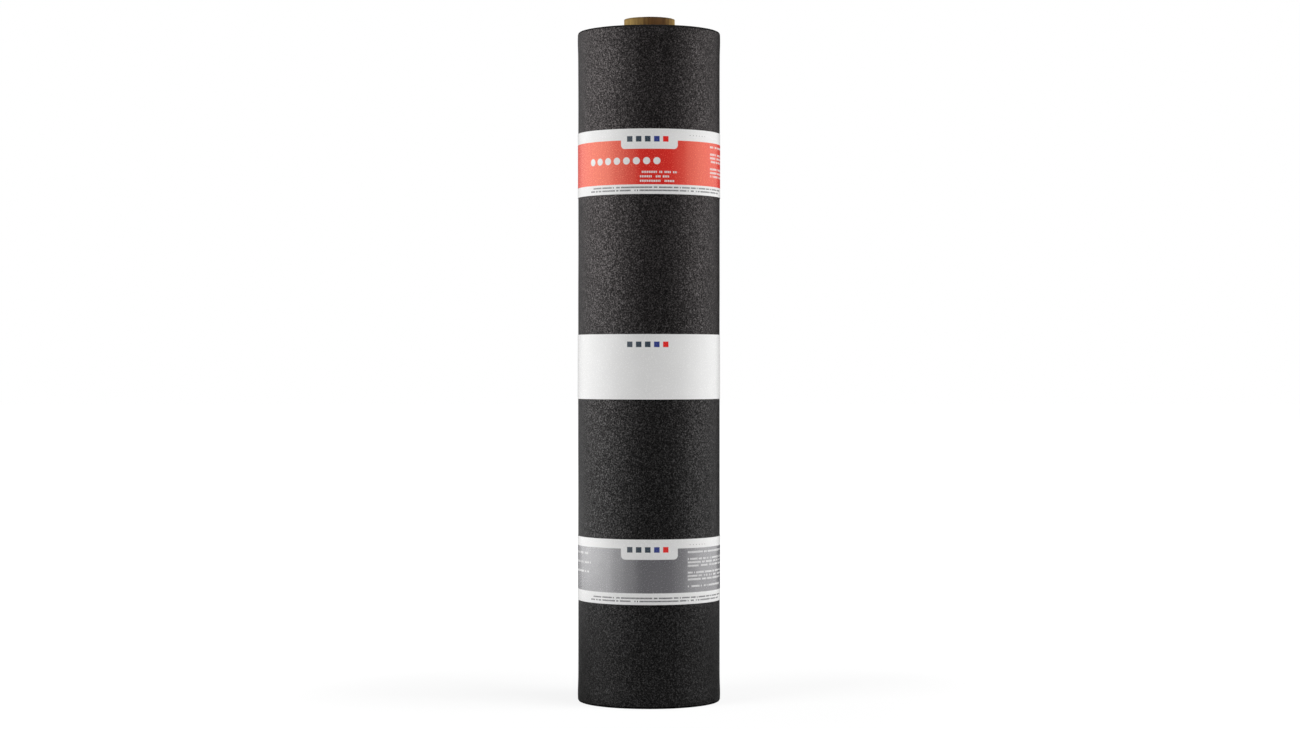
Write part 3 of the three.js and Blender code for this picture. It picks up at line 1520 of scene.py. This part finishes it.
LEFT_POWERS = (
    (-30.0, 0.9), (-50.0, 1.8), (-70.0, 3.1), (-90.0, 3.6), (-110.0, 3.6), (-130.0, 2.9), (-150.0, 1.0),
)
RIGHT_POWERS = ((50.0, 0.5), (70.0, 1.7), (90.0, 2.5), (110.0, 2.4), (130.0, 2.0))
HIGH_POWERS = (("left_high", -55.0, 3150.0), ("front_high", 52.0, 2550.0), ("right_high", 80.0, 3100.0))
LAMPS = (
    *LampRing("left", LEFT_POWERS).lamps(),
    *LampRing("right", RIGHT_POWERS).lamps(),
    *(Softbox(*power, distance=10.0, width=6.0, tall=6.0, height=19.0) for power in HIGH_POWERS),
)


@dataclass
class Studio:
    """A pale floor, a white surround, soft lamps and the camera."""

    distance: float = 3.926
    camera_height: float = 0.5007
    lens: float = 72.5
    sensor: float = 36.0
    shift: tuple[float, float] = (0.00042, 0.0010)
    floor_size: float = 60.0
    floor_glow: Ramp = Ramp(0.3, 1.4, 0.84, 1.0)
    floor_lit: Colour = (0.08, 0.08, 0.08)
    floor_plain: Colour = (0.1, 0.1, 0.1)
    surround_light: float = 0.03
    mirrored: float = 0.03
    lamps: tuple[Softbox, ...] = LAMPS

    def camera(self) -> None:
        """Puts the camera level with the middle of the roll."""
        data = bpy.data.cameras.new("camera")
        data.sensor_width = self.sensor
        data.lens = self.lens
        data.shift_x, data.shift_y = self.shift
        made = add_object("camera", data)
        made.location = (0.0, -self.distance, self.camera_height)
        made.rotation_euler = (math.radians(90.0), 0.0, 0.0)
        bpy.context.scene.camera = made

    def show(self, g: Graph, light: Socket, look: Socket) -> None:
        """Ends a graph in one shader as light, and in another for a direct look.

        A gloss mirrors a small share of the second.

        Args:
            g: The graph.
            light: The shader that counts as light.
            look: The shader that is looked at.
        """
        path = {name: Value(g, out) for name, out in g.add("LightPath").outputs.items()}
        direct = g.math("MAXIMUM", path["Is Camera Ray"], path["Is Transmission Ray"])
        seen = g.math("MAXIMUM", direct, path["Is Glossy Ray"] * self.mirrored)
        g.end(g.add("MixShader", {0: seen, 1: light, 2: look}))

    def floor(self) -> None:
        """Lays the floor, which looks white and keeps a faint shadow of the roll."""
        half = 0.5 * self.floor_size
        mesh = bpy.data.meshes.new("floor")
        corners = [(-half, -half, 0.0), (half, -half, 0.0), (half, half, 0.0), (-half, half, 0.0)]
        mesh.from_pydata(corners, [], [(0, 1, 2, 3)])
        g = Graph("pale_floor")
        away = Value(g, g.vector("LENGTH", g.place()).outputs["Value"])
        glow = g.add("Emission", {"Strength": away.ramp(self.floor_glow)}).outputs[0]
        lit = g.add("BsdfDiffuse", {"Color": self.floor_lit}).outputs[0]
        plain = g.add("BsdfDiffuse", {"Color": self.floor_plain}).outputs[0]
        self.show(g, plain, g.add("AddShader", {0: glow, 1: lit}).outputs[0])
        mesh.materials.append(g.material)
        add_object("floor", mesh)

    def surround(self) -> None:
        """Makes the world white to look at and a dim grey as light."""
        world = bpy.data.worlds.new("surround")
        bpy.context.scene.world = world
        world.use_nodes = True
        g = Graph("surround", world.node_tree)
        white, dim = (
            g.add("Background", {"Color": (1.0, 1.0, 1.0), "Strength": strength}).outputs[0]
            for strength in (1.0, self.surround_light)
        )
        self.show(g, dim, white)

    def build(self) -> None:
        """Sets up the whole studio."""
        self.camera()
        self.floor()
        self.surround()
        for lamp in self.lamps:
            lamp.build()
        bpy.context.scene.view_settings.view_transform = "Standard"


# ---- The roll ----


@dataclass(frozen=True)
class BandDesign:
    """The plain printed design of the bands, in generic squares, dots and strokes."""

    red: Colour = (0.860, 0.020, 0.017)
    grey: Colour = (0.130, 0.127, 0.141)
    small_print: Colour = (0.045, 0.047, 0.055)
    slate: Colour = (0.040, 0.060, 0.085)
    blue: Colour = (0.035, 0.055, 0.260)
    tick: Colour = (0.300, 0.280, 0.280)
    red_shine: Colour = (1.0, 0.66, 0.46)
    square_step: float = 13.4 * MM

    def squares(self) -> tuple[Lines, ...]:
        """Lists the row of five squares near the top edge.

        Returns:
            Three slate ones, a blue one and a red one.
        """
        runs = ((-2.5, 0.5, self.slate), (0.5, 1.5, self.blue), (1.5, 2.5, self.red))
        return tuple(
            Lines(
                start * self.square_step, end * self.square_step, top=86.0 * MM, pitch=11.0 * MM, rows=1,
                thick=8.2 * MM, stroke=self.square_step, cover=0.62, drawn=1.0, ink=ink,
            )
            for start, end, ink in runs
        )

    def shared(self) -> tuple[Mark, ...]:
        """Lists what both inked bands show beside their own marks.

        Returns:
            The rows along the foot, the ticks at the top and the squares.
        """
        footer = Lines(
            start=-100.0 * MM, end=152.0 * MM, top=12.0 * MM, pitch=4.5 * MM, rows=2, thick=2.1 * MM,
            stroke=1.9 * MM, seed=2.0, ragged=44.0 * MM, cover=0.76, ink=self.small_print,
        )
        ticks = Lines(
            start=63.0 * MM, end=96.0 * MM, top=88.0 * MM, pitch=2.4 * MM, rows=1, thick=0.9 * MM,
            stroke=6.0 * MM, seed=3.0, cover=0.3, ink=self.tick,
        )
        return footer, ticks, *self.squares()

    def finishes(self) -> dict[BandPlace, PaperFinish]:
        """Lists the finish of each band.

        Returns:
            The finishes by the bands' places, from the top down.
        """
        panel = Panel(centre=0.0, half_width=43.0 * MM, low=66.0 * MM)
        dots = Dots(start=-103.0 * MM, pitch=15.2 * MM, count=8, height=48.5 * MM, radius=5.3 * MM)
        notes = Lines(
            start=-14.0 * MM, end=44.0 * MM, top=35.4 * MM, pitch=6.5 * MM, rows=3, seed=5.0,
            ragged=12.0 * MM,
        )
        side = Lines(
            start=108.0 * MM, end=188.0 * MM, top=75.0 * MM, pitch=5.4 * MM, rows=10, seed=9.0,
            ragged=18.0 * MM, gap_every=4,
        )
        column = Lines(
            start=60.0 * MM, end=172.0 * MM, top=78.5 * MM, pitch=5.0 * MM, rows=11, thick=2.7 * MM,
            stroke=2.3 * MM, seed=7.0, ragged=26.0 * MM, gap_every=4,
        )
        left = Lines(
            start=-186.0 * MM, end=-98.0 * MM, top=79.0 * MM, pitch=13.5 * MM, rows=3, seed=4.0,
            ragged=16.0 * MM,
        )
        red_ground = Ground(self.red, low=14.0 * MM, high=78.5 * MM)
        grey_ground = Ground(self.grey, low=17.0 * MM, high=82.0 * MM)
        red_marks = (panel, dots, notes, side, *self.shared())
        grey_marks = (panel, column, left, *self.shared())
        return {
            BandPlace.TOP: PaperFinish("red_band_paper", red_ground, red_marks, ink_shine=self.red_shine),
            BandPlace.MIDDLE: PaperFinish("white_band_paper", marks=self.squares()),
            BandPlace.BOTTOM: PaperFinish("grey_band_paper", grey_ground, grey_marks),
        }


@dataclass
class FeltRoll:
    """The whole object: sheet, tube and bands, sized by the frame's boxes.

    Attributes:
        thickness: Thickness of the felt sheet.
        fit: Room between the tube and the roll's bore.
    """

    thickness: float = 2.97 * MM
    fit: float = 0.3 * MM
    design: BandDesign = BandDesign()
    band_seed: int = 31

    def pieces(self) -> list[Piece]:
        """Lists the pieces in the order that they are made in.

        Returns:
            The sheet, the tube, and the bands from the top down.
        """
        _, felt_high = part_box("felt_roll")
        _, tube_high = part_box("core_tube")
        winding = Winding(
            bore=tube_high[0] + self.fit,
            thickness=self.thickness,
            tail_radius=felt_high[1],
            tail_angle=BACK,
            height=felt_high[2],
        )
        made: list[Piece] = [FeltSheet(winding), KraftTube(radius=tube_high[0], height=tube_high[2])]
        for number, (place, finish) in enumerate(self.design.finishes().items()):
            low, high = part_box(place.node)
            seed = self.band_seed + number
            made.append(PaperBand(place, winding, finish, low=low[2], high=high[2], seed=seed))
        return made


def main() -> None:
    """Builds the roll piece by piece and the studio round it."""
    logging.basicConfig(level=logging.INFO, format="%(name)s: %(message)s")
    for piece in FeltRoll().pieces():
        made = piece.build()
        LOG.info("%s: %d faces in place of %s", made.name, len(made.data.polygons), piece.node)
    Studio().build()


if __name__ == "__main__":
    main()
